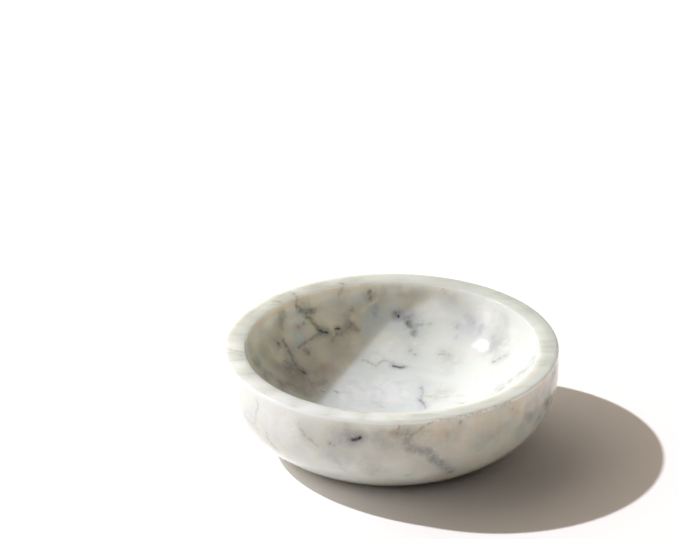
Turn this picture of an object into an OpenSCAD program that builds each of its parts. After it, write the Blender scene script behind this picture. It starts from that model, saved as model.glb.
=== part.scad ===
// Turned and polished marble bowl on four thin felt pads.
// Millimetres, +Z up, origin on the table under the middle of the bowl.

/* [Stone] */
// Diameter over the rim
rim_d = 200; // [180:1:220]
// Height of the stone from its foot to its rim
stone_h = 60.5; // [54:0.5:68]
// Width of the flat rim between the mouth and the outside
rim_w = 12.4; // [9:0.2:14]
// Radius rubbed on the outer edge of the rim
rim_arris_r = 1.5; // [0.8:0.1:2.4]
// Radius rubbed on the edge of the mouth
mouth_arris_r = 0.5; // [0.3:0.1:1]
// Thickness of the stone at the middle of the floor
floor_t = 12.5; // [10:0.5:16]

/* [Outside curve] */
// Height of the upright band under the rim
band_h = 14.3; // [10:0.1:18]
// Diameter where the flank meets the foot
foot_d = 129; // [110:1:145]
// Angle between the flank and the table at the foot
foot_lift = 24; // [15:1:35]
// How far the shoulder's bend reaches, against the flank's
shoulder_share = 1.25; // [0.8:0.05:1.8]

/* [Inside curve] */
// Height of the upright lip inside the mouth
lip_h = 1.5; // [1.3:0.1:3]
// Diameter of the shallow dish in the middle of the floor
dish_d = 105; // [90:1:120]
// Slope of the dish at its edge
dish_lift = 23; // [16:0.5:30]
// How far the upper bend of the inside wall reaches, against the lower bend's
upper_bend_share = 0.44; // [0.3:0.01:0.7]

/* [Foot] */
// Width of the flat ring that the foot stands on
foot_ring_w = 16; // [14:0.5:20]
// Depth of the hollow turned inside the foot ring
foot_hollow_depth = 1.5; // [0.8:0.1:2.5]
// Radius left in the corner of the foot hollow
foot_hollow_corner_r = 0.6; // [0.3:0.1:0.8]

/* [Pads] */
// Diameter of a felt pad
pad_d = 12; // [8:0.5:13]
// Thickness of the felt
pad_t = 1; // [0.8:0.1:2]
// Thickness of the adhesive layer that holds a pad
adhesive_t = 0.2; // [0.1:0.05:0.4]
// How far the adhesive stays inside the edge of its pad
adhesive_inset = 0.3; // [0.1:0.1:0.8]

/* [Hidden] */

marble_colour = [0.93, 0.92, 0.89];
felt_colour = [0.34, 0.32, 0.29];
adhesive_colour = [0.86, 0.82, 0.70];

// Sides drawn on a full circle
round_fn = 180;
// Overrun of a cut past the face it opens, and set-back of a filling from the edge it backs
cut_over = 1;
// Overrun of a slice past an end where other stone or another cut covers it, in degrees
slice_over = 2;

// Levels
foot_z = pad_t + adhesive_t;
rim_z = foot_z + stone_h;
band_z = rim_z - band_h;
floor_z = foot_z + floor_t;

// Radii from the axis
rim_r = rim_d / 2;
mouth_r = rim_r - rim_w;
foot_r = foot_d / 2;
hollow_r = foot_r - foot_ring_w;

// Directions in the half section
to_axis = [-1, 0];
down = [0, -1];

// Where two arcs join on their way from p1, heading t1, to p2, heading t2. The tangents of the
// first arc are share times as long as those of the second.
function arcs_join(p1, t1, p2, t2, share) =
    let(
        v = p2 - p1,
        a = 2 * share * (t1 * t2 - 1),
        b = -2 * (v * t2 + share * (v * t1)),
        d2 = (-b - sqrt(b * b - 4 * a * (v * v))) / (2 * a),
        d1 = share * d2
    )
    (d2 * (p1 + d1 * t1) + d1 * (p2 - d2 * t2)) / (d1 + d2);

// Radius of the arc through p and q whose centre lies from p in the direction n
function arc_radius(p, q, n) = (q - p) * (q - p) / (2 * ((q - p) * n));

// Direction from the centre of an arc to a point on it, in degrees
function bearing(centre, p) = atan2(p.y - centre.y, p.x - centre.x);

// Outside curve: from the upright band through the shoulder and the flank to the edge of the foot
band_end = [rim_r, band_z];
foot_edge = [foot_r, foot_z];
flank_end_dir = [-cos(foot_lift), -sin(foot_lift)];
flank_normal = [-sin(foot_lift), cos(foot_lift)];
shoulder_end = arcs_join(band_end, down, foot_edge, flank_end_dir, shoulder_share);
shoulder_r = arc_radius(band_end, shoulder_end, to_axis);
shoulder_c = band_end + shoulder_r * to_axis;
shoulder_normal = (shoulder_c - shoulder_end) / shoulder_r;
flank_r = arc_radius(foot_edge, shoulder_end, flank_normal);
flank_c = foot_edge + flank_r * flank_normal;

// Inside curve: from a short upright lip through the two bends of the wall into the dish
lip_end = [mouth_r, rim_z - lip_h];
dish_r = dish_d / 2 / sin(dish_lift);
dish_c = [0, floor_z + dish_r];
dish_middle = [0, floor_z];
dish_end_dir = [-cos(dish_lift), -sin(dish_lift)];
dish_normal = [-sin(dish_lift), cos(dish_lift)];
dish_edge = dish_c - dish_r * dish_normal;
bends_join = arcs_join(lip_end, down, dish_edge, dish_end_dir, upper_bend_share);
upper_bend_r = arc_radius(lip_end, bends_join, to_axis);
upper_bend_c = lip_end + upper_bend_r * to_axis;
lower_bend_r = arc_radius(dish_edge, bends_join, dish_normal);
lower_bend_c = dish_edge + lower_bend_r * dish_normal;

// Pads: one on the middle of the foot ring in each quarter
pad_place_r = foot_r - foot_ring_w / 2;
quarter_turn = 360 / 4;
first_pad_angle = quarter_turn / 2;

// The slice of a disc from point p on its edge round to point q, less than half a turn on. It runs
// on before p and past q by the angles given.
module disc_slice(centre, r, p, q, before_p, past_q) {
    reach = 2 * r;
    from = bearing(centre, p) - before_p;
    to = bearing(centre, q) + past_q;
    middle = (from + to) / 2;
    translate(centre)
        intersection() {
            circle(r = r, $fn = round_fn);
            polygon([
                [0, 0],
                reach * [cos(from), sin(from)],
                reach * [cos(middle), sin(middle)],
                reach * [cos(to), sin(to)]
            ]);
        }
}

// Half section of the solid outside form, before it is hollowed
module outside_section() {
    intersection() {
        union() {
            translate([0, band_z]) square([rim_r, band_h]);
            disc_slice(shoulder_c, shoulder_r, shoulder_end, band_end, slice_over, slice_over);
            disc_slice(flank_c, flank_r, foot_edge, shoulder_end, slice_over, 0);
            polygon([
                [0, foot_z],
                [foot_r - cut_over, foot_z],
                shoulder_end + cut_over * shoulder_normal,
                [rim_r - cut_over, band_z],
                [rim_r - cut_over, rim_z],
                [0, rim_z]
            ]);
        }
        translate([0, foot_z]) square([rim_r, stone_h]);
    }
}

// Half section of the space inside the bowl, open at the top
module inside_section() {
    mouth_top = rim_z + cut_over;
    intersection() {
        union() {
            translate([0, lip_end.y]) square([mouth_r, mouth_top - lip_end.y]);
            disc_slice(upper_bend_c, upper_bend_r, bends_join, lip_end, slice_over, slice_over);
            disc_slice(lower_bend_c, lower_bend_r, dish_edge, bends_join, slice_over, 0);
            disc_slice(dish_c, dish_r, dish_middle, dish_edge, slice_over, 0);
        }
        translate([0, foot_z]) square([mouth_r, mouth_top - foot_z]);
    }
}

// What an arris of radius r takes off the rim's square corner at x; the stone is on its stone_side
module arris_waste(x, r, stone_side) {
    arris_x = x + stone_side * r;
    over_x = x - stone_side * cut_over;
    difference() {
        translate([min(arris_x, over_x), rim_z - r])
            square([r + cut_over, r + cut_over]);
        translate([arris_x, rim_z - r])
            circle(r = r, $fn = round_fn);
    }
}

// Half section of the shallow hollow turned in the underside, with a round corner
module foot_hollow_section() {
    flat_r = hollow_r - foot_hollow_corner_r;
    translate([0, foot_z - cut_over]) square([flat_r, foot_hollow_depth + cut_over]);
    translate([0, foot_z - cut_over])
        square([hollow_r, foot_hollow_depth + cut_over - foot_hollow_corner_r]);
    translate([flat_r, foot_z + foot_hollow_depth - foot_hollow_corner_r])
        circle(r = foot_hollow_corner_r, $fn = round_fn);
}

module marble_bowl() {
    color(marble_colour)
        rotate_extrude($fn = round_fn)
            difference() {
                outside_section();
                inside_section();
                arris_waste(rim_r, rim_arris_r, -1);
                arris_waste(mouth_r, mouth_arris_r, 1);
                foot_hollow_section();
            }
}

// Moves its children from the axis to the middle of the foot ring in one quarter
module at_pad(quarter) {
    rotate([0, 0, first_pad_angle + quarter * quarter_turn])
        translate([pad_place_r, 0, 0])
            children();
}

module felt_pad(quarter) {
    color(felt_colour)
        at_pad(quarter)
            cylinder(d = pad_d, h = pad_t, $fn = round_fn);
}

module adhesive(quarter) {
    color(adhesive_colour)
        at_pad(quarter)
            translate([0, 0, pad_t])
                cylinder(d = pad_d - 2 * adhesive_inset, h = adhesive_t, $fn = round_fn);
}

marble_bowl();
felt_pad(0);  // felt_pad_back_right
felt_pad(1);  // felt_pad_back_left
felt_pad(2);  // felt_pad_front_left
felt_pad(3);  // felt_pad_front_right
adhesive(0);  // adhesive_back_right
adhesive(1);  // adhesive_back_left
adhesive(2);  // adhesive_front_left
adhesive(3);  // adhesive_front_right
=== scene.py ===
import math
import bmesh
import bpy
from mathutils import Matrix, Vector
from mathutils.bvhtree import BVHTree


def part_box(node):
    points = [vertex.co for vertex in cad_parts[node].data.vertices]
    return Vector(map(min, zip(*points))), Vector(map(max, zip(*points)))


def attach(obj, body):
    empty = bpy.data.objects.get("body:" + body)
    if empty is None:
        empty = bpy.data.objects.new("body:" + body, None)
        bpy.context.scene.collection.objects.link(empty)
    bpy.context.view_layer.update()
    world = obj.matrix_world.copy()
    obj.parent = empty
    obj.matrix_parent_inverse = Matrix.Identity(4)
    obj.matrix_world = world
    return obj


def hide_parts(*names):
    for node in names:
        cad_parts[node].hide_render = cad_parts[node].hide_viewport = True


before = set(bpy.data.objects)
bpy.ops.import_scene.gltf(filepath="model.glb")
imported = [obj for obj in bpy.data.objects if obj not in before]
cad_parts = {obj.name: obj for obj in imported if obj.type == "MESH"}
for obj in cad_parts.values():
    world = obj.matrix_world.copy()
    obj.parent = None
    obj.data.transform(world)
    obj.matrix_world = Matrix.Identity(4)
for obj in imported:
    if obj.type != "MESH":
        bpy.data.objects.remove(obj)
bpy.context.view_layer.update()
mm = 0.001

# Camera: a long lens, placed so that the middle of the rim falls on its pixel of the photograph
photoSize = (679, 539)
view = {
    "focalPixels": 7000,  # focal length in pixels of the photograph
    "elevation": 25.82,  # degrees down to the bowl
    "roll": -0.18,  # degrees
    "rimPixel": (391.5, 346.0),
    "depth": 4.1821,  # metres from the lens to the middle of the rim, along the view
    "sensorWidth": 36,  # mm
    "farthest": 40,  # metres
}

bowlLow, bowlHigh = (Vector(corner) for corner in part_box("marble_bowl"))
rimMiddle = Vector((0, 0, bowlHigh.z))
lookDown = math.radians(view["elevation"])
ahead = Vector((0, math.cos(lookDown), -math.sin(lookDown)))
across = Vector((1, 0, 0))
level = Matrix((across, Vector((0, math.sin(lookDown), math.cos(lookDown))), -ahead)).transposed()
turned = level @ Matrix.Rotation(math.radians(view["roll"]), 3, "Z")


def pixelRay(x, y):
    # direction through a pixel of the photograph, one long along the view
    rightward = (x - photoSize[0] / 2) / view["focalPixels"]
    upward = (photoSize[1] / 2 - y) / view["focalPixels"]
    return turned @ Vector((rightward, upward, -1))


lensPlace = rimMiddle - pixelRay(*view["rimPixel"]) * view["depth"]
cameraData = bpy.data.cameras.new("camera")
cameraData.sensor_width = view["sensorWidth"]
cameraData.lens = view["focalPixels"] / photoSize[0] * view["sensorWidth"]
cameraData.clip_end = view["farthest"]
camera = bpy.data.objects.new("camera", cameraData)
camera.matrix_world = Matrix.Translation(lensPlace) @ turned.to_4x4()
bpy.context.scene.collection.objects.link(camera)
bpy.context.scene.camera = camera
bpy.context.scene.view_settings.view_transform = "Standard"
print("camera placed")

# Light: one hard lamp from the upper left, and a sky that glows at the left and behind
light = {
    "sunAzimuth": -20.4,  # degrees, the way the light travels
    "sunElevation": 42.2,
    "sunStrength": 2.95,
    "sunSpread": 1.5,  # degrees
    "sunColour": (0.94, 0.98, 1.05),
    "skyLow": (0.040, 0.034, 0.028),  # light from the front and the right
    "skyHigh": (1.12, 1.00, 0.84),  # light from a low window at the left, a little behind
    "skyFrom": (-0.78, 0.42, 0.29),
    "skyBack": (0.18, 0.15, 0.12),  # weaker light from behind
    "skyBackFrom": (0.1, 0.9, 0.4),
    "skyEdge": (0.2, 1.0),  # where each begins and is full, as a cosine
    "backdrop": (1.0, 1.0, 1.0),  # the world to the camera and in the first reflection
    "mirrorDepth": 1.5,  # bounces, more than the first reflection's and less than the second's
    "floorSeen": (1.15, 1.10, 1.09),  # the floor's colour to the camera
    "floorLit": (0.85, 0.84, 0.82),  # and to the light that it throws back
    "floorSize": 12,  # metres
}
sunData = bpy.data.lights.new("sun", "SUN")
sunData.energy = light["sunStrength"]
sunData.angle = math.radians(light["sunSpread"])
sunData.color = light["sunColour"]
sun = bpy.data.objects.new("sun", sunData)
sunElevation = math.radians(light["sunElevation"])
sun.rotation_euler = (math.pi / 2 - sunElevation, 0, math.radians(light["sunAzimuth"] - 90))
bpy.context.scene.collection.objects.link(sun)


def newNode(tree, kind, **settings):
    made = tree.nodes.new(kind)
    for name, value in settings.items():
        setattr(made, name, value)
    return made


def feed(tree, socket, value):
    # joins a socket or sets a plain value
    if isinstance(value, bpy.types.NodeSocket):
        tree.links.new(value, socket)
    elif value is not None:
        socket.default_value = value


def calc(tree, operation, first, second):
    made = newNode(tree, "ShaderNodeMath", operation=operation)
    feed(tree, made.inputs[0], first)
    feed(tree, made.inputs[1], second)
    return made.outputs[0]


def vectorCalc(tree, operation, first, second=None, scale=None):
    made = newNode(tree, "ShaderNodeVectorMath", operation=operation)
    feed(tree, made.inputs[0], first)
    feed(tree, made.inputs[1], second)
    if scale is not None:
        feed(tree, made.inputs["Scale"], scale)
    return made.outputs["Value" if operation in ("DOT_PRODUCT", "LENGTH", "DISTANCE") else "Vector"]


def spread(tree, value, low, high, outLow=0.0, outHigh=1.0):
    # a smooth step; the node's own clamp isn't needed and would upset the order of a long tree
    made = newNode(tree, "ShaderNodeMapRange", interpolation_type="SMOOTHSTEP", clamp=False)
    names = ("Value", "From Min", "From Max", "To Min", "To Max")
    for name, given in zip(names, (value, low, high, outLow, outHigh)):
        feed(tree, made.inputs[name], given)
    return made.outputs["Result"]


def blend(tree, factor, first, second, mode="MIX"):
    made = newNode(tree, "ShaderNodeMix", data_type="RGBA", blend_type=mode)
    feed(tree, made.inputs["Factor"], factor)
    for name, value in (("A", first), ("B", second)):
        socket = next(s for s in made.inputs if s.name == name and s.type == "RGBA")
        feed(tree, socket, (*value, 1) if isinstance(value, tuple) else value)
    return next(s for s in made.outputs if s.type == "RGBA")


noiseMiddle = 0.5


def grain(
    tree,
    place,
    scale,
    detail=3.0,
    roughness=0.5,
    stretch=(1, 1, 1),
    offset=(0, 0, 0),
    distortion=0.0,
    output="Fac",
):
    # noise between about 0.2 and 0.8 at a place in millimetres, as a value or as a colour
    moved = newNode(tree, "ShaderNodeMapping")
    feed(tree, moved.inputs["Vector"], place)
    moved.inputs["Scale"].default_value = stretch
    moved.inputs["Location"].default_value = offset
    made = newNode(tree, "ShaderNodeTexNoise")
    tree.links.new(moved.outputs["Vector"], made.inputs["Vector"])
    made.inputs["Scale"].default_value = scale
    made.inputs["Detail"].default_value = detail
    made.inputs["Roughness"].default_value = roughness
    made.inputs["Distortion"].default_value = distortion
    return made.outputs[output]


def startGroup(name, **inlets):
    # a node group that gives one value
    group = bpy.data.node_groups.new(name, "ShaderNodeTree")
    for inlet, kind in inlets.items():
        group.interface.new_socket(inlet, in_out="INPUT", socket_type=kind)
    group.interface.new_socket("value", in_out="OUTPUT", socket_type="NodeSocketFloat")
    return group, group.nodes.new("NodeGroupInput").outputs


def endGroup(group, value):
    group.links.new(value, group.nodes.new("NodeGroupOutput").inputs["value"])


def useGroup(tree, group, **given):
    made = newNode(tree, "ShaderNodeGroup", node_tree=group)
    for inlet, value in given.items():
        feed(tree, made.inputs[inlet], value)
    return made.outputs["value"]


def startMaterial(name):
    made = bpy.data.materials.new(name)
    made.use_nodes = True
    tree = made.node_tree
    shader = tree.nodes["Principled BSDF"]
    coordinates = newNode(tree, "ShaderNodeTexCoord")
    place = vectorCalc(tree, "SCALE", coordinates.outputs["Object"], scale=1 / mm)
    return made, tree, shader, place


def emptyTree(owner):
    owner.use_nodes = True
    owner.node_tree.nodes.clear()
    return owner.node_tree


def glowFrom(tree, skyway, side):
    # how strongly the sky glows each way, when it glows from one side
    facing = vectorCalc(tree, "DOT_PRODUCT", skyway, Vector(side).normalized())
    return spread(tree, facing, *light["skyEdge"])


# World: white to the camera and in the first reflection, and the sky to all other light
world = bpy.data.worlds.new("studio")
bpy.context.scene.world = world
tree = emptyTree(world)
rays = newNode(tree, "ShaderNodeLightPath")
skyway = newNode(tree, "ShaderNodeTexCoord").outputs["Generated"]
skyGlow = glowFrom(tree, skyway, light["skyFrom"])
backGlow = glowFrom(tree, skyway, light["skyBackFrom"])
sky = blend(tree, skyGlow, light["skyLow"], light["skyHigh"])
sky = blend(tree, backGlow, sky, light["skyBack"], mode="ADD")
mirrored = calc(tree, "MAXIMUM", rays.outputs["Is Glossy Ray"], rays.outputs["Is Transmission Ray"])
firstBounce = calc(tree, "LESS_THAN", rays.outputs["Ray Depth"], light["mirrorDepth"])
seen = calc(tree, "MAXIMUM", rays.outputs["Is Camera Ray"], calc(tree, "MULTIPLY", mirrored, firstBounce))
backdrop = blend(tree, seen, sky, light["backdrop"])
background = newNode(tree, "ShaderNodeBackground")
tree.links.new(backdrop, background.inputs["Color"])
tree.links.new(background.outputs["Background"], newNode(tree, "ShaderNodeOutputWorld").inputs["Surface"])

# Floor
floorShape = bmesh.new()
bmesh.ops.create_grid(floorShape, x_segments=1, y_segments=1, size=light["floorSize"])
floorMesh = bpy.data.meshes.new("floor")
floorShape.to_mesh(floorMesh)
floorShape.free()
floor = bpy.data.objects.new("floor", floorMesh)
bpy.context.scene.collection.objects.link(floor)
floorPaint = bpy.data.materials.new("floorPaint")
tree = emptyTree(floorPaint)
rays = newNode(tree, "ShaderNodeLightPath")
seen = calc(tree, "MAXIMUM", rays.outputs["Is Camera Ray"], rays.outputs["Is Glossy Ray"])
paint = blend(tree, seen, light["floorLit"], light["floorSeen"])
chalk = newNode(tree, "ShaderNodeBsdfDiffuse")
tree.links.new(paint, chalk.inputs["Color"])
tree.links.new(chalk.outputs["BSDF"], newNode(tree, "ShaderNodeOutputMaterial").inputs["Surface"])
floorMesh.materials.append(floorPaint)
print("light and floor ready")

# The bowl: its half section is drawn with arcs and runs, then spun round the axis
bowl = {
    "rimWidth": 12.4 * mm,
    "rimArris": 1.5 * mm,
    "mouthArris": 0.5 * mm,
    "lipHeight": 1.5 * mm,
    "bandHeight": 14.3 * mm,
    "floorThickness": 12.5 * mm,
    "footRadius": 64.5 * mm,
    "footLift": 24,  # degrees between the flank and the table
    "shoulderShare": 1.25,  # reach of the shoulder's bend against the flank's
    "dishRadius": 52.5 * mm,
    "dishLift": 23,  # slope at the edge of the dish in the floor
    "upperBendShare": 0.44,  # reach of the inside wall's upper bend against the lower one's
    "footRing": 16 * mm,
    "hollowDepth": 1.5 * mm,
    "hollowCorner": 0.6 * mm,
    "slices": 400,  # faces round the bowl
    "edges": {  # edges along each part of the half section
        "dish": 24,
        "lowerBend": 20,
        "upperBend": 14,
        "mouthArris": 6,
        "rim": 4,
        "rimArris": 8,
        "band": 5,
        "shoulder": 26,
        "flank": 14,
        "footRing": 5,
        "hollowCorner": 4,
        "hollowTop": 12,
    },
}
mergeWithin = 0.001 * mm
sharpFrom = 20  # degrees between faces that show an edge


def inSection(x, z):
    return Vector((x, 0, z))


def slopeWays(lift):
    # down a slope of so many degrees towards the axis, and square to it
    lift = math.radians(lift)
    return inSection(-math.cos(lift), -math.sin(lift)), inSection(-math.sin(lift), math.cos(lift))


def joinArcs(start, startWay, end, endWay, share):
    # where two arcs with these end tangents meet, the first's tangents share times the second's
    reach = end - start
    square = 2 * share * (startWay.dot(endWay) - 1)
    linear = -2 * (reach.dot(endWay) + share * reach.dot(startWay))
    second = (-linear - math.sqrt(linear * linear - 4 * square * reach.dot(reach))) / (2 * square)
    first = share * second
    return (second * (start + first * startWay) + first * (end - second * endWay)) / (first + second)


def arcCentre(end, other, normal):
    chord = other - end
    return end + normal * chord.dot(chord) / (2 * chord.dot(normal))


def bearing(centre, point):
    return math.atan2(point.z - centre.z, point.x - centre.x)


def bend(section, tip, centre, end, edges):
    # carries the section's tip round a centre to the bearing of an end point
    turn = bearing(centre, end) - bearing(centre, tip.co)
    swept = bmesh.ops.spin(section, geom=[tip], cent=centre, axis=(0, -1, 0), angle=turn, steps=edges)
    return next(v for v in swept["geom_last"] if isinstance(v, bmesh.types.BMVert))


def run(section, tip, end, edges=1):
    # carries the tip straight on to an end point
    stride = (end - tip.co) / edges
    for edge in range(edges):
        tip = bmesh.ops.extrude_vert_indiv(section, verts=[tip])["verts"][0]
        bmesh.ops.translate(section, verts=[tip], vec=stride)
    return tip


def spinRound(section, slices):
    # spins a half section round the axis into a closed skin
    bmesh.ops.spin(
        section,
        geom=section.verts[:] + section.edges[:],
        axis=(0, 0, 1),
        angle=2 * math.pi,
        steps=slices,
        use_merge=True,
    )
    bmesh.ops.remove_doubles(section, verts=section.verts[:], dist=mergeWithin)
    bmesh.ops.recalc_face_normals(section, faces=section.faces[:])


def placePiece(name, skin, node):
    # makes a piece of a closed skin that stands for a CAD node
    mesh = bpy.data.meshes.new(name)
    skin.to_mesh(mesh)
    skin.free()
    mesh.shade_smooth()
    mesh.set_sharp_from_angle(angle=math.radians(sharpFrom))
    piece = bpy.data.objects.new(name, mesh)
    bpy.context.scene.collection.objects.link(piece)
    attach(piece, "root")
    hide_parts(node)
    return mesh


down = inSection(0, -1)
up = inSection(0, 1)
toAxis = inSection(-1, 0)
rimRadius = bowlHigh.x
rimLevel = bowlHigh.z
footLevel = bowlLow.z
mouthRadius = rimRadius - bowl["rimWidth"]
rimArris = bowl["rimArris"]
rimArrisCentre = inSection(rimRadius - rimArris, rimLevel - rimArris)
mouthArris = bowl["mouthArris"]
mouthArrisCentre = inSection(mouthRadius + mouthArris, rimLevel - mouthArris)

lipEnd = inSection(mouthRadius, rimLevel - bowl["lipHeight"])
dishMiddle = inSection(0, footLevel + bowl["floorThickness"])
dishWay, dishNormal = slopeWays(bowl["dishLift"])
dishCentre = dishMiddle + up * bowl["dishRadius"] / math.sin(math.radians(bowl["dishLift"]))
dishEdge = dishCentre - dishNormal * (dishCentre - dishMiddle).length
bendsJoin = joinArcs(lipEnd, down, dishEdge, dishWay, bowl["upperBendShare"])
upperBendCentre = arcCentre(lipEnd, bendsJoin, toAxis)
lowerBendCentre = arcCentre(dishEdge, bendsJoin, dishNormal)

bandEnd = inSection(rimRadius, rimLevel - bowl["bandHeight"])
footEdge = inSection(bowl["footRadius"], footLevel)
flankWay, flankNormal = slopeWays(bowl["footLift"])
shoulderEnd = joinArcs(bandEnd, down, footEdge, flankWay, bowl["shoulderShare"])
shoulderCentre = arcCentre(bandEnd, shoulderEnd, toAxis)
flankCentre = arcCentre(footEdge, shoulderEnd, flankNormal)

hollowRadius = bowl["footRadius"] - bowl["footRing"]
hollowTop = footLevel + bowl["hollowDepth"]
corner = bowl["hollowCorner"]
cornerCentre = inSection(hollowRadius - corner, hollowTop - corner)

edges = bowl["edges"]
stone = bmesh.new()
tip = stone.verts.new(dishMiddle)
tip = bend(stone, tip, dishCentre, dishEdge, edges["dish"])
tip = bend(stone, tip, lowerBendCentre, bendsJoin, edges["lowerBend"])
tip = bend(stone, tip, upperBendCentre, lipEnd, edges["upperBend"])
tip = run(stone, tip, mouthArrisCentre + toAxis * mouthArris)
tip = bend(stone, tip, mouthArrisCentre, mouthArrisCentre + up * mouthArris, edges["mouthArris"])
tip = run(stone, tip, rimArrisCentre + up * rimArris, edges["rim"])
tip = bend(stone, tip, rimArrisCentre, rimArrisCentre - toAxis * rimArris, edges["rimArris"])
tip = run(stone, tip, bandEnd, edges["band"])
tip = bend(stone, tip, shoulderCentre, shoulderEnd, edges["shoulder"])
tip = bend(stone, tip, flankCentre, footEdge, edges["flank"])
tip = run(stone, tip, inSection(hollowRadius, footLevel), edges["footRing"])
tip = run(stone, tip, cornerCentre - toAxis * corner)
tip = bend(stone, tip, cornerCentre, cornerCentre + up * corner, edges["hollowCorner"])
tip = run(stone, tip, inSection(0, hollowTop), edges["hollowTop"])
spinRound(stone, bowl["slices"])
stoneSurface = BVHTree.FromBMesh(stone)
stoneMesh = placePiece("stoneBowl", stone, "marble_bowl")
print("bowl spun:", len(stoneMesh.polygons), "faces")

# Marble: clouds and bedding from noise, and the veins and stains of the photograph drawn on top, with
# painted light, shade and glints among them
marble = {
    "white": (0.843, 0.864, 0.83),
    "cloud": (0.745, 0.77, 0.76),  # cooler and darker clouds
    "cream": (0.84, 0.83, 0.78),  # warmer clouds
    "streak": (0.64, 0.66, 0.66),  # thin bedding lines along x
    "roughness": (0.06, 0.105),
    "gloss": 0.42,  # strength of its reflections, where 0.5 is glass
    "bump": 0.04 * mm,
    "glow": 0.019,  # metres that light travels in the stone
    "glowByColour": (1.0, 0.85, 0.7),
    "rim": (0.69, 0.73, 0.68),  # greener stone on the rim, and its streaks
    "rimStreak": (0.58, 0.62, 0.575),
    "paintedHighlight": (0.97, 0.98, 0.95),  # painted highlight on the outer edge of the rim at the front, also the colour of the painted light above the foot
    # painted shade on the outer edge of the rim at the back
    "paintedEdgeShade": (0.50, 0.52, 0.49),
    "lip": (0.72, 0.65, 0.53),  # painted warm glow at the top of the inside wall, at the left and behind, where light shines through the rim into the shade
    "lipSide": (-0.87, 0.5, 0.0),
    "veinWander": 3.2,  # mm across which a vein strays from the line drawn for it
    "stainWander": 16,
    "veinReach": 1.9,  # half widths to the end of the core's soft edge
    "haloReach": 5.0,  # half widths to the end of the halo
    "halo": 0.3,  # strength of the halo against the core
    "web": (0.42, 0.44, 0.43),  # web of veins where the photograph doesn't look
    "smoke": (0.60, 0.605, 0.62),  # grey clouds there
}

# Noises: scale for each mm, and how each is drawn
grains = {
    "warmCloud": {"scale": 0.017, "detail": 2, "stretch": (0.8, 1, 1), "offset": (310, 40, 0)},
    "coolCloud": {
        "scale": 0.03,
        "detail": 4,
        "stretch": (0.6, 1, 1),
        "offset": (5, 80, 30),
        "distortion": 0.6,
    },
    "bedding": {"scale": 0.5, "detail": 3, "roughness": 0.6, "stretch": (0.09, 1, 1)},
    "beddingPatches": {"scale": 0.04, "detail": 2, "offset": (70, 0, 9)},
    "crumble": {"scale": 0.45, "detail": 3, "roughness": 0.6, "offset": (9, 9, 9)},
    "web": {
        "scale": 0.02,
        "detail": 5,
        "roughness": 0.56,
        "stretch": (0.8, 1, 1),
        "offset": (17, 3, 41),
        "distortion": 0.5,
    },
    "webPatches": {"scale": 0.03, "detail": 2, "offset": (12, 60, 7)},
    "smoke": {"scale": 0.035, "detail": 4, "roughness": 0.6, "offset": (90, 4, 66), "distortion": 0.5},
    "veinWander": {"scale": 0.22, "detail": 4, "roughness": 0.6, "output": "Color"},
    "stainWander": {"scale": 0.07, "detail": 4, "roughness": 0.6, "offset": (0, 55, 0), "output": "Color"},
    "mottle": {"scale": 0.16, "detail": 5, "roughness": 0.62, "offset": (3, 9, 27)},
    "rimStreaks": {"scale": 0.22, "detail": 4, "stretch": (0.22, 1, 1), "offset": (44, 0, 0)},
    "polish": {"scale": 0.22, "detail": 4, "offset": (2, 71, 5)},
}

# From which value to which each noise or distance fades, and the strengths at the two ends
fades = {
    "warmCloud": (0.45, 0.72, 0, 0.7),
    "coolCloud": (0.46, 0.70, 0, 0.75),
    "bedding": (0.52, 0.75, 0, 0.35),
    "beddingPatches": (0.42, 0.6),
    "broken": (0.30, 0.62, 0.4, 1.15),  # how a vein crumbles
    "unbroken": (0.30, 0.62, 0.9, 1.1),
    "webCore": (0, 0.01, 0.75, 0),
    "webHalo": (0, 0.06, 0.4, 0),
    "webPatches": (0.40, 0.60),
    "smoke": (0.48, 0.72, 0, 0.6),
    "uneven": (0.32, 0.62, 0.35, 1.25),  # how a stain is mottled
    "rimStreaks": (0.42, 0.74),
    "polish": (0.3, 0.7),
}

# Parts of the bowl, in mm: where each begins and where it is full
parts = {
    "leaning": 0.41,  # radius less this share of the height is less on the inside than on the outside
    "outside": (68.5, 70),
    "below": (13.6, 10),
    # painted glow from the level of the rim down, and its strength
    "back": (5, 35),
    "front": (-10, -28),
    "frontShift": 200,  # carries the outside off the front
    "underside": (6, 3),
    "paintedLightAboveFoot": (7, 3, 0, 1.0),  # painted light just above the foot, where the bright floor lights the stone, and its strength
    "lip": (-7, -1.5, 0, 0.6),  # from the level of the rim down, and its strength
    "lipSide": (40, 80),
    "edge": (-2.4, -1.2, 0, 0.95),
    "edgeSide": (-30, 25),
    "rim": (-0.5, -0.05, 0, 0.85),
}

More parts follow.
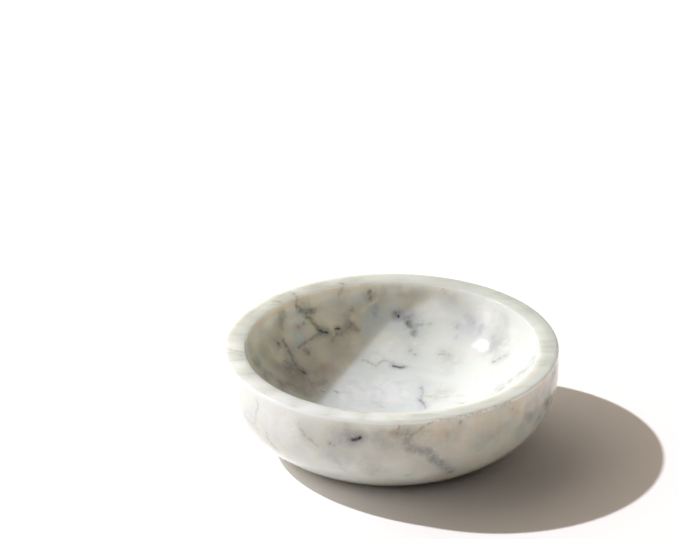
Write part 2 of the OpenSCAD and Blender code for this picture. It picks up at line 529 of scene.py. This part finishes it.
# Veins as they cross the photograph: half width in mm, strength, and pixels from end to end
veins = {
    "ink": {
        "colour": (0.035, 0.028, 0.045),
        "paths": [
            (1.0, 0.8, [(320.1, 330.8), (323.4, 332.3), (326.6, 332.3)]),
            (0.7, 0.8, [(335.8, 328.4), (339.1, 328.6)]),
            (0.8, 0.85, [(303.3, 372.6)]),
            (1.2, 1.0, [(398.3, 316.2)]),
            (0.8, 0.78, [(393.2, 365.2), (396.1, 366.1), (400.5, 367.4), (403, 367)]),
            (1.5, 0.98, [(352.6, 440), (356.7, 438.9), (359.6, 437.4)]),
            (0.9, 0.65, [(407.5, 324.3), (407.5, 321.6)]),
            (0.8, 0.45, [(278.4, 344.4)]),
            (0.8, 0.45, [(423.2, 404), (420, 400.2)]),
            (0.8, 0.45, [(450.6, 472.1)]),
        ],
    },
    "violet": {
        "colour": (0.3, 0.28, 0.34),
        "paths": [
            (0.8, 0.4, [(348.6, 439.5), (352.6, 440)]),
            (0.9, 0.65, [(329.6, 443.8)]),
            (1.2, 0.35, [(333.4, 445.6)]),
            (1.1, 0.45, [
                (421.6, 386.7), (422.2, 392.6), (421.6, 397.5), (420, 400.2), (423.2, 404), (424.9, 408),
            ]),
            (0.7, 0.35, [(418.4, 398)]),
            (1.0, 0.3, [(256.4, 400.4), (258.6, 405.8), (255.9, 412.3), (255.4, 419.9), (253.7, 424.3)]),
            (1.6, 0.25, [(244.5, 415.6), (248.9, 419.9), (254.3, 425.4), (257.5, 430.8)]),
            (1.0, 0.35, [(266.2, 431.9), (267.8, 438.4), (272.7, 444.9), (277, 449.2)]),
            (1.8, 0.35, [(456.3, 327.1)]),
            (1.6, 0.28, [(456.3, 336.8)]),
            (2.6, 0.28, [(467, 316.5), (470, 321), (474, 323)]),
            (2.4, 0.25, [(481.8, 327.1), (479.6, 332.5)]),
            (2.0, 0.25, [(492.6, 337.9), (491.5, 350.9)]),
            (1.0, 0.5, [(492.4, 361.8), (495.9, 361), (500, 358.5), (506, 355)]),
            (0.9, 0.3, [(394.5, 310.8), (396, 314)]),
            (1.4, 0.5, [(410.8, 350.9)]),
            (1.0, 0.35, [(413, 353), (415.1, 354.7)]),
        ],
    },
    "slate": {
        "colour": (0.3, 0.31, 0.27),
        "paths": [
            (2.2, 0.45, [(297.9, 308.6), (304.4, 313), (313.1, 309.7)]),
            (1.8, 0.42, [(303, 311.5), (305.5, 316.2), (312, 321.1), (316.3, 326), (320.1, 330.8)]),
            (1.1, 0.42, [
                (320.1, 334.1), (314.2, 336.8), (307.7, 340.6), (305.5, 343.3), (300.1, 346),
                (297.9, 348.2),
            ]),
            (1.1, 0.4, [(308, 340.6)]),
            (0.8, 0.45, [(336.9, 333.6), (342.3, 335.2)]),
            (1.4, 0.55, [(332, 340.6)]),
            (1.2, 0.35, [(333, 338.5), (342, 333), (350, 323.5)]),
            (1.4, 0.4, [(303.3, 323.3)]),
            (1.4, 0.35, [(298.4, 326.5)]),
            (2.2, 0.2, [(281.6, 322), (281.6, 328)]),
            (1.4, 0.4, [(278.4, 344.4)]),
            (1.4, 0.48, [
                (282.7, 340), (286, 345.5), (289.2, 350.9), (291.9, 356.3), (294.6, 362.8), (296.8, 367.2),
                (300, 370.4), (303.3, 372.6),
            ]),
            (2.2, 0.5, [(305.5, 351), (308.5, 352.6)]),
            (4.0, 0.32, [(289.2, 365), (287, 373.7), (292.5, 379.1)]),
            (3.0, 0.35, [(314.2, 384.5), (325, 382.3)]),
            (0.8, 0.5, [(320.7, 391), (325, 391.6)]),
            (0.8, 0.6, [(334.8, 391), (338, 392.6)]),
            (0.7, 0.22, [(338, 392.6), (352, 392.6)]),
            (1.1, 0.35, [
                (361.9, 360.1), (368.4, 361.7), (373.8, 365), (376, 365.5), (380.3, 362.3), (384.6, 360.4),
                (391.1, 362.3),
            ]),
            (1.0, 0.3, [(374.5, 365.3)]),
            (1.6, 0.75, [(369.5, 291.7)]),
            (1.4, 0.45, [(369.6, 295.6), (370.1, 298.9)]),
            (2.4, 0.2, [(375.5, 304.4), (375, 314)]),
            (2.4, 0.28, [(352.2, 309.7)]),
            (3.0, 0.22, [(346.3, 317.3)]),
            (1.5, 0.45, [(411.3, 315.1)]),
            (2.4, 0.62, [(407, 318), (409.5, 325.5), (412.9, 328.1), (413.5, 334)]),
            (1.0, 0.5, [(416.7, 324.3), (422.2, 324.3)]),
            (0.9, 0.25, [(422.2, 324.3), (431, 324.3)]),
            (1.5, 0.22, [(412.9, 335.7)]),
            (0.8, 0.35, [(403, 367), (407.5, 366.4)]),
            (0.6, 0.35, [(423.2, 396.4), (448.2, 396.4)]),
            (0.5, 0.18, [(448.2, 396.4), (466, 395.8)]),
            (0.8, 0.22, [(438.4, 391), (448.2, 391)]),
            (0.8, 0.32, [(458, 403), (463.4, 403)]),
            (1.3, 0.2, [(373.4, 401.9), (377.7, 404), (382, 407.3)]),
            (1.4, 0.35, [(298.7, 425.4), (304.1, 434), (311.7, 440.5), (317.2, 444.9)]),
            (1.3, 0.4, [(371.4, 474.1)]),
            (1.6, 0.18, [(371.4, 473), (381.1, 466.6)]),
            (1.1, 0.28, [(338.8, 475.2)]),
            (1.8, 0.18, [(326.9, 453.5), (335.6, 459), (342.1, 468.7), (348.6, 472)]),
            (3.6, 0.42, [
                (404.7, 432.9), (407.6, 439.8), (407, 445.5), (414.4, 449.5), (421.3, 451.2),
                (428.2, 451.8), (432.2, 455.3), (436.3, 461.6), (442.6, 465), (447.7, 469.6),
                (451.2, 472.1),
            ]),
            (1.0, 0.45, [(414.4, 449.5)]),
            (1.1, 0.5, [(427.6, 451.5), (430, 454.7)]),
            (0.9, 0.5, [(443.1, 464.8)]),
            (0.9, 0.5, [(407, 475.4)]),
            (0.9, 0.3, [(407, 476), (413.3, 473.6)]),
            (2.0, 0.28, [(448.3, 435.2)]),
            (1.3, 0.22, [(494.2, 437.5)]),
            (0.7, 0.35, [(225, 348), (232, 350), (242, 352)]),
            (0.9, 0.4, [(241.3, 355.8)]),
            (0.9, 0.18, [(228.5, 360.5), (241.5, 360)]),
        ],
    },
    "umber": {
        "colour": (0.27, 0.2, 0.13),
        "paths": [
            (0.7, 0.6, [(274, 301.2), (277.8, 301.2), (280, 303)]),
            (0.8, 0.6, [(292.5, 294), (294.1, 294), (296.3, 296.7)]),
            (1.6, 0.38, [(296.3, 296.7), (296.3, 305.4)]),
            (0.9, 0.5, [(341.3, 283.1), (343.6, 284.2), (342.1, 288.6)]),
            (1.8, 0.28, [(342.1, 288.6), (339.1, 293.4)]),
            (1.2, 0.45, [(398.9, 426), (397.8, 432.9)]),
            (1.3, 0.38, [(412.1, 434), (417.9, 430.6), (423.6, 427.1)]),
            (0.7, 0.5, [(428, 424), (430.5, 422.6), (436, 420.8)]),
            (1.1, 0.4, [(436, 420.8), (451.2, 418.8), (471.8, 413.9), (492.5, 408.4), (512, 401.5)]),
            (1.2, 0.45, [(460.9, 422)]),
            (1.3, 0.45, [(504, 404.5), (507.5, 402.8)]),
            (0.8, 0.5, [(512.6, 408.8)]),
            (1.6, 0.28, [(516.6, 412.2)]),
            (2.4, 0.28, [(444.9, 291.8)]),
            (1.2, 0.3, [(440.6, 354.2), (448.2, 355.2)]),
            (1.2, 0.22, [(440.6, 350.9), (446, 350.6)]),
            (0.8, 0.35, [(343, 410), (350, 411), (367, 413)]),
        ],
    },
    # pale quartz lines, and painted glints where scratches catch the light
    "quartz": {
        "colour": (0.97, 0.96, 0.9),
        "paths": [
            (0.45, 0.35, [(342.3, 331.4), (351, 321.1), (361.9, 310.8)]),
            (0.55, 0.75, [(361.9, 310.8), (365.8, 308.2)]),
            (0.55, 0.8, [(369.5, 304.4), (376.5, 300)]),
            (0.6, 0.7, [(352.1, 319), (353.7, 316), (356.4, 317.4)]),
            (0.6, 0.55, [(332.4, 323.8), (332.6, 327)]),
            (0.8, 1.0, [(352.6, 343.1)]),
            (0.6, 0.4, [(355.4, 336.8), (359.1, 339), (357.5, 344.4)]),
            (1.0, 0.8, [(415.1, 343.9)]),
        ],
    },
}

# Stains, some of them painted light and shade: pixel, radius in mm and strength
stains = {
    # pale stone, and painted light, most of all on the shaded inside and along the edge of its shadow
    "milk": {
        "colour": (0.96, 0.97, 0.935),
        "spots": [
            (250, 335, 22, 0.25), (268, 318, 22, 0.2), (300, 300, 20, 0.2), (335, 298, 18, 0.35),
            (370, 293, 18, 0.2), (405, 290, 16, 0.2), (300, 335, 24, 0.95), (330, 320, 22, 0.75),
            (322, 358, 16, 0.8), (270, 430, 22, 0.8), (286, 432, 20, 1.0), (350, 392, 26, 1.1),
            (388, 392, 24, 1.0), (378, 347, 22, 0.95), (485, 312, 20, 0.8), (420, 478, 20, 0.7),
            (310, 450, 16, 0.6), (385, 318, 12, 1.0), (372, 330, 11, 0.95), (358, 345, 10, 1.0),
            (343, 366, 12, 1.1), (334, 382, 10, 1.1), (430, 303, 14, 0.6), (280, 356, 9, 0.9),
            (298, 322, 8, 0.4), (300, 452, 16, 0.5), (405, 325, 12, 0.5), (462, 450, 10, 0.5),
            (395, 303, 12, 0.5), (360, 330, 10, 0.9), (318, 385, 12, 0.9), (278, 352, 12, 0.9),
            (330, 378, 10, 0.9),
        ],
    },
    "lavender": {
        "colour": (0.58, 0.57, 0.64),
        "spots": [
            (424, 405, 7, 0.55), (388, 318, 8, 0.4), (410, 319, 9, 0.45), (468, 326, 17, 0.45),
            (484, 345, 12, 0.25), (340, 434, 12, 0.45), (344, 432, 7, 0.65), (341, 440, 6, 0.55),
            (351, 438, 7, 0.5), (363, 436, 5, 0.35), (408, 419, 8, 0.4), (533, 411, 12, 0.5),
            (548, 388, 12, 0.35), (250, 418, 12, 0.3), (270, 440, 12, 0.25), (388, 452, 12, 0.2),
            (330, 460, 14, 0.25), (457, 300, 7, 0.25), (285, 436, 10, 0.12), (410, 296, 12, 0.08),
            (340, 303, 12, 0.2), (300, 455, 14, 0.2), (262, 425, 12, 0.3), (296, 332, 10, 0.25),
            (330, 303, 14, 0.25), (275, 437, 14, 0.2), (553, 372, 10, 0.4),
        ],
    },
    # grey-green stone, and painted shade on the band under the front of the rim and on the shaded right
    # flank
    "greyGreen": {
        "colour": (0.55, 0.56, 0.54),
        "spots": [
            (370, 296, 8, 0.45), (374, 310, 8, 0.25), (306, 312, 10, 0.4), (300, 330, 14, 0.1),
            (307, 352, 6, 0.3), (408, 440, 7, 0.4), (444, 466, 9, 0.4), (518, 433, 12, 0.45),
            (500, 450, 9, 0.3), (375, 345, 16, 0.15), (412, 328, 6, 0.4), (290, 355, 9, 0.15),
            (306, 436, 8, 0.18), (395, 300, 12, 0.05), (380, 436, 14, 0.6), (410, 432, 12, 0.45),
            (350, 430, 12, 0.4), (500, 425, 14, 0.35), (540, 395, 14, 0.45), (553, 375, 14, 1.0),
            (530, 410, 14, 0.35), (547, 400, 10, 0.7), (497, 346, 14, 0.6), (450, 362, 16, 0.4),
            (440, 394, 13, 0.35), (370, 466, 14, 0.5), (303, 380, 12, 0.45), (262, 328, 9, 0.3),
            (280, 318, 12, 0.35), (450, 434, 14, 0.35), (345, 452, 14, 0.35), (485, 440, 18, 0.35),
            (505, 420, 18, 0.35), (400, 287, 14, 0.45), (365, 287, 14, 0.45), (325, 297, 12, 0.3),
            (500, 352, 14, 0.35), (520, 372, 12, 0.25), (408, 442, 6, 0.8), (416, 450, 6, 1.0),
            (425, 452, 6, 1.0), (433, 457, 6, 1.0), (440, 463, 6, 0.9), (448, 470, 6, 0.7),
            (340, 290, 14, 0.35), (360, 288, 12, 0.35), (426, 431, 9, 0.4), (390, 288, 12, 0.2),
        ],
    },
    "peach": {
        "colour": (0.8, 0.69, 0.6),
        "spots": [
            (440, 430, 15, 0.5), (461, 446, 16, 0.38), (484, 419, 17, 0.48), (516, 405, 10, 0.6),
            (530, 392, 7, 0.55), (392, 438, 7, 0.38), (387, 470, 8, 0.28), (545, 379, 5, 0.55),
            (500, 432, 14, 0.3), (370, 462, 18, 0.25), (462, 430, 10, 0.4), (395, 455, 16, 0.35),
            (425, 440, 14, 0.3), (300, 380, 14, 0.55), (322, 368, 12, 0.4), (286, 370, 9, 0.4),
            (420, 462, 14, 0.35), (440, 472, 12, 0.3), (470, 462, 14, 0.3), (285, 381, 8, 0.35),
        ],
    },
    "olive": {
        "colour": (0.64, 0.62, 0.54),
        "spots": [
            (281, 307, 7, 0.5), (330, 352, 14, 0.15), (318, 368, 14, 0.15), (262, 352, 10, 0.25),
            (551, 366, 7, 0.4), (350, 335, 9, 0.12),
        ],
    },
    # cool painted light, mostly on the shaded inside and along the edge of its shadow
    "mist": {
        "colour": (0.82, 0.88, 0.93),
        "spots": [
            (296, 338, 14, 0.75), (300, 316, 14, 0.55), (330, 303, 14, 0.45), (358, 298, 12, 0.45),
            (386, 304, 13, 0.95), (378, 316, 13, 1.1), (368, 330, 11, 1.0), (340, 314, 12, 0.35),
            (262, 325, 10, 0.35), (275, 434, 16, 0.35), (296, 446, 12, 0.25), (412, 291, 14, 0.1),
            (440, 297, 12, 0.25), (360, 442, 14, 0.2), (540, 408, 10, 0.3), (338, 370, 10, 0.25),
        ],
    },
    # painted shade on the shaded right flank, at the back of the inside, and on the inside wall under the
    # rim at the left and the front
    "ash": {
        "colour": (0.42, 0.43, 0.41),
        "spots": [
            (556, 366, 9, 0.5), (548, 402, 9, 0.35), (539, 419, 10, 0.4), (300, 301, 9, 0.3),
            (283, 310, 9, 0.25), (345, 286, 10, 0.25), (384, 286, 10, 0.25), (420, 288, 12, 0.22),
            (500, 330, 14, 0.22), (541, 347, 8, 0.3), (521, 376, 11, 0.45), (500, 389, 11, 0.45),
            (511, 383, 9, 0.4), (533, 361, 9, 0.4), (249, 346, 8, 0.4), (256, 361, 8, 0.45),
            (266, 375, 8, 0.4), (282, 386, 7, 0.35), (299, 391, 8, 0.4),
        ],
    },
    "rust": {
        "colour": (0.46, 0.36, 0.28),
        "spots": [
            (351, 328, 7, 0.6), (281, 383, 8, 0.55), (292, 386, 9, 0.5), (269, 376, 4, 0.45),
            (303, 392, 9, 0.35), (275, 365, 7, 0.2), (393, 435, 5, 0.3), (461, 421, 3, 0.3),
            (300, 374, 14, 0.38), (305, 388, 10, 0.3), (322, 368, 12, 0.15),
        ],
    },
}

# the same on the flat rim, with painted light along its front
rimStains = {
    # painted light on the rim, most of all along its front
    "pale": {
        "colour": (0.95, 0.96, 0.91),
        "spots": [
            (235, 346, 14, 0.75), (240, 365, 14, 0.95), (258, 383, 14, 0.8), (283, 397, 16, 1.0),
            (313, 408, 16, 1.1), (345, 414, 16, 1.0), (380, 418, 14, 1.0), (400, 417, 10, 0.7),
            (541, 328, 9, 0.3),
        ],
    },
    "dark": {
        "colour": (0.5, 0.53, 0.49),
        "spots": [
            (314, 287, 16, 0.9), (349, 280, 14, 0.6), (285, 297, 14, 0.65), (250, 316, 14, 0.5),
            (548, 346, 12, 0.55), (525, 311, 10, 0.35), (467, 286, 14, 0.4), (440, 281, 14, 0.5),
            (544, 364, 8, 0.3), (400, 278, 10, 0.2), (480, 404, 14, 0.15), (458, 408, 9, 0.45),
            (425, 412, 9, 0.4),
        ],
    },
}


def onBowl(x, y):
    # the place on the stone, in mm, that a pixel of the photograph shows
    return stoneSurface.ray_cast(lensPlace, pixelRay(x, y))[0] / mm


# Distance in mm to one straight length of a vein; pull is its span over its length squared. In a
# long tree each node has to be made after those that it reads.
stretch, inlets = startGroup(
    "stretch of vein",
    place="NodeSocketVector",
    start="NodeSocketVector",
    span="NodeSocketVector",
    pull="NodeSocketVector",
)
fromStart = vectorCalc(stretch, "SUBTRACT", inlets["place"], inlets["start"])
along = vectorCalc(stretch, "DOT_PRODUCT", fromStart, inlets["pull"])
clamped = newNode(stretch, "ShaderNodeClamp")
feed(stretch, clamped.inputs["Value"], along)
foot = vectorCalc(stretch, "SCALE", inlets["span"], scale=clamped.outputs["Result"])
endGroup(stretch, vectorCalc(stretch, "DISTANCE", fromStart, foot))


def nearPath(tree, place, points):
    # distance in mm from a place to a line drawn from point to point
    if len(points) == 1:
        return vectorCalc(tree, "DISTANCE", place, points[0])
    nearest = None
    for start, end in zip(points, points[1:]):
        span = end - start
        away = useGroup(tree, stretch, place=place, start=start, span=span, pull=span / span.dot(span))
        nearest = calc(tree, "MINIMUM", nearest, away) if nearest else away
    return nearest


def veinMask(name, paths):
    group, inlets = startGroup(name + " veins", place="NodeSocketVector")
    strongest = 0.0
    for halfWidth, strength, pixels in paths:
        away = nearPath(group, inlets["place"], [onBowl(x, y) for x, y in pixels])
        core = spread(group, away, 0, halfWidth * marble["veinReach"], strength, 0)
        halo = spread(group, away, 0, halfWidth * marble["haloReach"], strength * marble["halo"], 0)
        strongest = calc(group, "MAXIMUM", strongest, calc(group, "MAXIMUM", core, halo))
    endGroup(group, strongest)
    return group


def stainMask(name, spots):
    group, inlets = startGroup(name + " stains", place="NodeSocketVector")
    strongest = 0.0
    for x, y, radius, strength in spots:
        away = vectorCalc(group, "DISTANCE", inlets["place"], onBowl(x, y))
        strongest = calc(group, "MAXIMUM", strongest, spread(group, away, 0, radius, strength, 0))
    endGroup(group, strongest)
    return group


marbleMaterial, tree, shader, place = startMaterial("marble")
colour = marble["white"]
warmCloud = grain(tree, place, **grains["warmCloud"])
colour = blend(tree, spread(tree, warmCloud, *fades["warmCloud"]), colour, marble["cream"])
coolCloud = grain(tree, place, **grains["coolCloud"])
colour = blend(tree, spread(tree, coolCloud, *fades["coolCloud"]), colour, marble["cloud"])
bedding = grain(tree, place, **grains["bedding"])
beddingPatches = grain(tree, place, **grains["beddingPatches"])
bedding = spread(tree, bedding, *fades["bedding"])
beddingPatches = spread(tree, beddingPatches, *fades["beddingPatches"])
colour = blend(tree, calc(tree, "MULTIPLY", bedding, beddingPatches), colour, marble["streak"])

crumble = grain(tree, place, **grains["crumble"])
broken = spread(tree, crumble, *fades["broken"])
unbroken = spread(tree, crumble, *fades["unbroken"])

# a web of veins where a noise crosses its middle, and smoke
webNoise = grain(tree, place, **grains["web"])
webEdge = calc(tree, "ABSOLUTE", calc(tree, "SUBTRACT", webNoise, noiseMiddle), None)
webPatches = grain(tree, place, **grains["webPatches"])
webCore = spread(tree, webEdge, *fades["webCore"])
webHalo = spread(tree, webEdge, *fades["webHalo"])
web = calc(tree, "MAXIMUM", webCore, webHalo)
web = calc(tree, "MULTIPLY", web, spread(tree, webPatches, *fades["webPatches"]))
web = calc(tree, "MULTIPLY", web, broken)
smoke = grain(tree, place, **grains["smoke"])

# both only on the back, below and inside at the front
axes = newNode(tree, "ShaderNodeSeparateXYZ")
feed(tree, axes.inputs[0], place)
sideways, height = axes.outputs["Y"], axes.outputs["Z"]
radius = vectorCalc(tree, "LENGTH", vectorCalc(tree, "MULTIPLY", place, (1, 1, 0)))
leaning = calc(tree, "SUBTRACT", radius, calc(tree, "MULTIPLY", height, parts["leaning"]))
outside = spread(tree, leaning, *parts["outside"])
below = spread(tree, height, *parts["below"])
outsideBack = calc(tree, "MAXIMUM", outside, below)
outsideBack = calc(tree, "MULTIPLY", outsideBack, spread(tree, sideways, *parts["back"]))
insideFront = calc(tree, "ADD", sideways, calc(tree, "MULTIPLY", outside, parts["frontShift"]))
unseen = calc(tree, "MAXIMUM", outsideBack, spread(tree, insideFront, *parts["front"]))
unseen = calc(tree, "MAXIMUM", unseen, spread(tree, height, *parts["underside"]))
smoky = spread(tree, smoke, *fades["smoke"])
colour = blend(tree, calc(tree, "MULTIPLY", smoky, unseen), colour, marble["smoke"])
colour = blend(tree, calc(tree, "MULTIPLY", web, unseen), colour, marble["web"])


def astray(tree, place, name):
    # the place, moved about by a noise
    wander = grain(tree, place, **grains[name])
    stray = vectorCalc(tree, "SUBTRACT", wander, (noiseMiddle, noiseMiddle, noiseMiddle))
    return vectorCalc(tree, "ADD", place, vectorCalc(tree, "SCALE", stray, scale=marble[name]))


veinPlace = astray(tree, place, "veinWander")
stainPlace = astray(tree, place, "stainWander")
mottle = grain(tree, place, **grains["mottle"])
uneven = spread(tree, mottle, *fades["uneven"])
for name, stain in stains.items():
    mask = useGroup(tree, stainMask(name, stain["spots"]), place=stainPlace)
    colour = blend(tree, calc(tree, "MULTIPLY", mask, uneven), colour, stain["colour"])

# the rim shows the bedding as streaks along x
streaks = grain(tree, place, **grains["rimStreaks"])
rimColour = blend(tree, spread(tree, streaks, *fades["rimStreaks"]), marble["rim"], marble["rimStreak"])
for name, stain in rimStains.items():
    mask = useGroup(tree, stainMask("rim " + name, stain["spots"]), place=stainPlace)
    rimColour = blend(tree, mask, rimColour, stain["colour"])

# painted glow at the top of the inside wall, painted highlight and shade on the rim's outer edge, the rim,
# and painted light above the foot, one over another
overRim = calc(tree, "SUBTRACT", height, rimLevel / mm)
# painted warm glow of light through the rim, at the top of the shaded inside wall
lip = spread(tree, vectorCalc(tree, "DOT_PRODUCT", place, marble["lipSide"]), *parts["lipSide"])
lip = calc(tree, "MULTIPLY", lip, calc(tree, "SUBTRACT", 1.0, outside))
lip = calc(tree, "MULTIPLY", lip, spread(tree, overRim, *parts["lip"]))
colour = blend(tree, lip, colour, marble["lip"])
# painted highlight on the front of the rim's outer edge, turning to painted shade at the back
edgeTurn = spread(tree, sideways, *parts["edgeSide"])
paintedEdgeLightAndShade = blend(tree, edgeTurn, marble["paintedHighlight"], marble["paintedEdgeShade"])
edge = calc(tree, "MULTIPLY", outside, spread(tree, overRim, *parts["edge"]))
colour = blend(tree, edge, colour, paintedEdgeLightAndShade)
colour = blend(tree, spread(tree, overRim, *parts["rim"]), colour, rimColour)
# painted light just above the foot, in the painted highlight's colour
paintedLightNearFoot = calc(tree, "MULTIPLY", outside, spread(tree, height, *parts["paintedLightAboveFoot"]))
colour = blend(tree, paintedLightNearFoot, colour, marble["paintedHighlight"])

for name, vein in veins.items():
    mask = useGroup(tree, veinMask(name, vein["paths"]), place=veinPlace)
    mask = calc(tree, "MULTIPLY", mask, unbroken if name == "ink" else broken)
    colour = blend(tree, mask, colour, vein["colour"])

tree.links.new(colour, shader.inputs["Base Color"])
polish = grain(tree, place, **grains["polish"])
tree.links.new(spread(tree, polish, *fades["polish"], *marble["roughness"]), shader.inputs["Roughness"])
bump = newNode(tree, "ShaderNodeBump")
tree.links.new(polish, bump.inputs["Height"])
bump.inputs["Distance"].default_value = marble["bump"]
tree.links.new(bump.outputs["Normal"], shader.inputs["Normal"])
shader.inputs["Specular IOR Level"].default_value = marble["gloss"]
shader.inputs["Subsurface Weight"].default_value = 1
shader.inputs["Subsurface Radius"].default_value = marble["glowByColour"]
shader.inputs["Subsurface Scale"].default_value = marble["glow"]
stoneMesh.materials.append(marbleMaterial)
print("marble mixed")

# Felt pads: discs with a pressed edge, of matted grey wool
felt = {
    "edge": 0.3 * mm,
    "slices": 96,
    "wool": (0.25, 0.238, 0.22),
    "shade": (0.15, 0.142, 0.13),
    "fibre": (0.42, 0.405, 0.38),
    "roughness": 0.95,
    "fuzz": 0.12 * mm,
    "mat": {"scale": 0.9, "detail": 5, "roughness": 0.7},
    "across": {"scale": 2.2, "stretch": (0.12, 1, 1)},  # fibres either way
    "along": {"scale": 2.2, "stretch": (1, 0.12, 1), "offset": (8, 3, 0)},
    "woolShows": (0.35, 0.65),
    "fibreShows": (0.55, 0.78, 0, 0.8),
    "edges": {"face": 6, "press": 5, "side": 2},  # edges along each part of the half section
}
feltMaterial, tree, shader, place = startMaterial("felt")
matted = grain(tree, place, **felt["mat"])
fibresAcross = grain(tree, place, **felt["across"])
fibresAlong = grain(tree, place, **felt["along"])
fibres = calc(tree, "MAXIMUM", fibresAcross, fibresAlong)
colour = blend(tree, spread(tree, matted, *felt["woolShows"]), felt["shade"], felt["wool"])
colour = blend(tree, spread(tree, fibres, *felt["fibreShows"]), colour, felt["fibre"])
tree.links.new(colour, shader.inputs["Base Color"])
shader.inputs["Roughness"].default_value = felt["roughness"]
bump = newNode(tree, "ShaderNodeBump")
tree.links.new(calc(tree, "ADD", fibres, matted), bump.inputs["Height"])
bump.inputs["Distance"].default_value = felt["fuzz"]
tree.links.new(bump.outputs["Normal"], shader.inputs["Normal"])

press = felt["edge"]
edges = felt["edges"]
padNodes = sorted(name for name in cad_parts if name.startswith("felt_pad"))
for name in padNodes:
    padLow, padHigh = (Vector(end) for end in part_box(name))
    padRadius = (padHigh.x - padLow.x) / 2
    padHeight = padHigh.z - padLow.z
    pad = bmesh.new()
    tip = pad.verts.new((0, 0, padHeight))
    topCentre = inSection(padRadius - press, padHeight - press)
    lowCentre = inSection(padRadius - press, press)
    tip = run(pad, tip, topCentre + up * press, edges["face"])
    tip = bend(pad, tip, topCentre, topCentre - toAxis * press, edges["press"])
    tip = run(pad, tip, lowCentre - toAxis * press, edges["side"])
    tip = bend(pad, tip, lowCentre, lowCentre + down * press, edges["press"])
    tip = run(pad, tip, inSection(0, 0), edges["face"])
    spinRound(pad, felt["slices"])
    padPlace = ((padLow.x + padHigh.x) / 2, (padLow.y + padHigh.y) / 2, padLow.z)
    bmesh.ops.translate(pad, verts=pad.verts[:], vec=padPlace)
    placePiece(name.replace("felt_pad", "feltDisc"), pad, name).materials.append(feltMaterial)
print("felt pads made:", len(padNodes))

# Adhesive: the CAD discs, in a milky glue
adhesive = {
    "film": (0.80, 0.74, 0.60),
    "bubbles": (0.90, 0.87, 0.78),
    "roughness": (0.25, 0.5),
    "cloudy": {"scale": 0.6, "detail": 4, "roughness": 0.6},
    "bubblesShow": (0.4, 0.66),
    "roughFrom": (0.3, 0.7),
}
glueMaterial, tree, shader, place = startMaterial("glue")
cloudy = grain(tree, place, **adhesive["cloudy"])
colour = blend(tree, spread(tree, cloudy, *adhesive["bubblesShow"]), adhesive["film"], adhesive["bubbles"])
tree.links.new(colour, shader.inputs["Base Color"])
rough = spread(tree, cloudy, *adhesive["roughFrom"], *adhesive["roughness"])
tree.links.new(rough, shader.inputs["Roughness"])

# the CAD nodes get the same materials, also those that pieces stand for
nodeMaterials = {"marble_bowl": marbleMaterial, "felt_pad": feltMaterial, "adhesive": glueMaterial}
for name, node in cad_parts.items():
    material = next(nodeMaterials[kind] for kind in nodeMaterials if name.startswith(kind))
    if not node.material_slots:
        node.data.materials.append(material)
    for nodeSlot in node.material_slots:
        nodeSlot.material = material
print("glue and CAD nodes painted")
